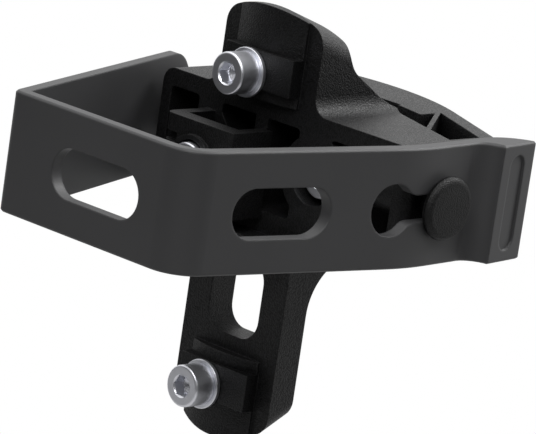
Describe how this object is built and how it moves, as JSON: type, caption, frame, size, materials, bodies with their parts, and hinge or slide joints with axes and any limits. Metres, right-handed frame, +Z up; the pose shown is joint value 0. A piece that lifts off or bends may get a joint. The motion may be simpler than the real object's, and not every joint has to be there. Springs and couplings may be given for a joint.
{
  "type": "bicycle lock bracket",
  "caption": "Frame bracket with two screwed arms and a ribbed crossbar; a stretchy rubber strap loops round a lock and buttons onto the crossbar's end.",
  "frame": {"origin": "midway between the two boss screws, on the plane where the arms' backs meet the frame's bosses", "axes": "+X to the right along the crossbar, +Y from the lock towards the bicycle's frame, +Z up along the frame"},
  "size_m": [0.0834, 0.0964, 0.0878],
  "materials": {
    "base_plastic": "black moulded plastic with a fine grain",
    "strap_rubber": "smooth dark grey rubber",
    "button_plastic": "black plastic, finely grained cap",
    "zinc_steel": "zinc plated steel"
  },
  "bodies": {
    "root": {"bracket_base": "base_plastic", "lock_strap": "strap_rubber", "strap_button": "button_plastic", "boss_screw_upper": "zinc_steel", "boss_screw_lower": "zinc_steel", "boss_washer_upper": "zinc_steel", "boss_washer_lower": "zinc_steel", "saddle_plate_upper": "base_plastic", "saddle_plate_lower": "base_plastic", "bar_screw_left": "zinc_steel", "bar_screw_right": "zinc_steel"}
  },
  "joints": []
}
